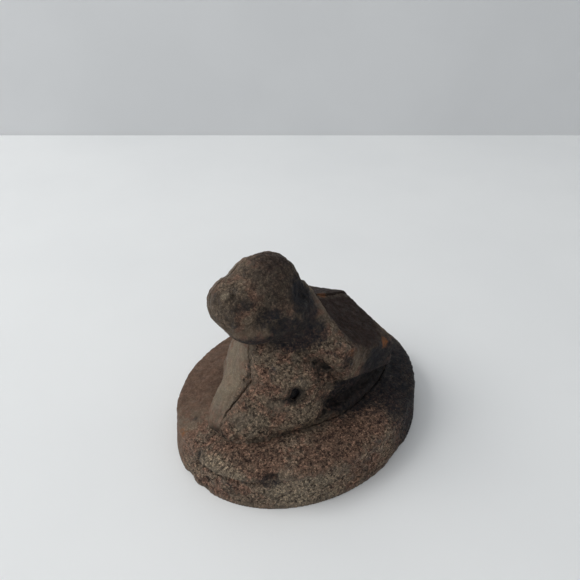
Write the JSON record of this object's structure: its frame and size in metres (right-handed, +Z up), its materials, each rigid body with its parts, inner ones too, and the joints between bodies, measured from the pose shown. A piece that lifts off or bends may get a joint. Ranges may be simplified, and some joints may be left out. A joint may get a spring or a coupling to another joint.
{
  "type": "figural paperweight",
  "caption": "Rust-brown cast-iron figural paperweight: oval plinth and a worn seated creature cast in two halves.",
  "frame": {"origin": "on the resting face, under the middle of the oval plinth", "axes": "+X along the plinth's length towards the creature's rear, +Y to its far side, +Z up"},
  "size_m": [0.084, 0.069, 0.0615],
  "materials": {
    "rusted_cast_iron": "rusted, worn, sand-cast grain",
    "rusted_plinth_iron": "rusted, smooth worn top, grainy rim",
    "rusted_steel": "rusted, dull"
  },
  "bodies": {
    "root": {"plinth": "rusted_plinth_iron", "near_half_casting": "rusted_cast_iron", "far_half_casting": "rusted_cast_iron", "chest_rivet": "rusted_steel", "rump_rivet": "rusted_steel", "neck_dowel": "rusted_steel", "foot_dowel": "rusted_steel", "screw_front_near": "rusted_steel", "screw_front_far": "rusted_steel", "screw_rear_near": "rusted_steel", "screw_rear_far": "rusted_steel"}
  },
  "joints": []
}
